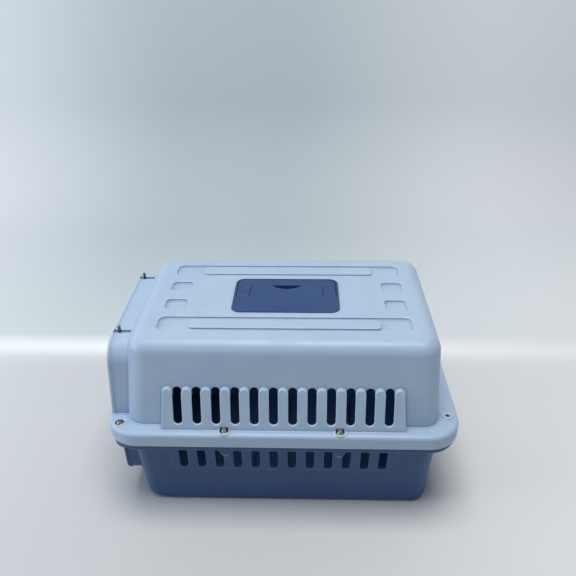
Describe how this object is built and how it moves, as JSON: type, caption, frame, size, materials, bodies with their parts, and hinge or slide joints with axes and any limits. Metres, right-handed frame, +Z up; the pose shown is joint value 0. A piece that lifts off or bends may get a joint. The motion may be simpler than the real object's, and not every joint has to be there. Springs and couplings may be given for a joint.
{
  "type": "hard pet carrier",
  "caption": "Two-part moulded pet carrier with bolted rim, vented sides, sprung wire door and a flush fold-up carry handle.",
  "frame": {"origin": "on the floor under the middle of the overall box", "axes": "+X along the carrier away from the door, +Y across it, +Z up"},
  "size_m": [0.48, 0.32, 0.281],
  "materials": {
    "light_blue_plastic": "satin moulded",
    "dark_blue_plastic": "satin moulded",
    "handle_blue_plastic": "satin moulded",
    "plated_steel": "dull zinc plate",
    "door_wire": "dull plated wire",
    "spring_steel": "bright"
  },
  "bodies": {
    "root": {"upper_shell": "light_blue_plastic", "lower_tray": "dark_blue_plastic", "handle_plate": "handle_blue_plastic", "handle_pin_left": "plated_steel", "handle_pin_right": "plated_steel", "rim_bolts": "plated_steel", "rim_nuts": "plated_steel", "rim_washers": "plated_steel"},
    "handle": {"carry_handle": "handle_blue_plastic"},
    "door": {"door_frame_wire": "door_wire", "door_vertical_wires": "door_wire", "door_horizontal_wires": "door_wire", "hinge_rod": "door_wire", "hinge_washer": "plated_steel", "latch_guides": "door_wire", "latch_spring_upper": "spring_steel", "latch_spring_lower": "spring_steel"},
    "latch_upper": {"latch_rod_upper": "door_wire", "latch_stop_upper": "plated_steel"},
    "latch_lower": {"latch_rod_lower": "door_wire", "latch_stop_lower": "plated_steel"}
  },
  "joints": [
    {"name": "handle_swing", "type": "hinge", "parent": "root", "child": "handle", "pos_m": [0.0025, -0.0005, 0.2765], "axis": [1, 0, 0], "range_deg": [0, 90]},
    {"name": "door_swing", "type": "hinge", "parent": "root", "child": "door", "pos_m": [-0.2212, -0.076, 0.156], "axis": [0, 0, 1], "range_deg": [0, 150]},
    {"name": "latch_upper_slide", "type": "slide", "parent": "door", "child": "latch_upper", "axis": [0, 0, -1], "range_m": [0, 0.018], "stiffness_N_per_m": 250, "springref_m": -0.006, "deforming": ["latch_spring_upper"]},
    {"name": "latch_lower_slide", "type": "slide", "parent": "door", "child": "latch_lower", "axis": [0, 0, 1], "range_m": [0, 0.018], "stiffness_N_per_m": 250, "springref_m": -0.006, "deforming": ["latch_spring_lower"]}
  ],
  "couplings": [
    {"joint": "latch_lower_slide", "follows": "latch_upper_slide", "ratio": 1}
  ]
}
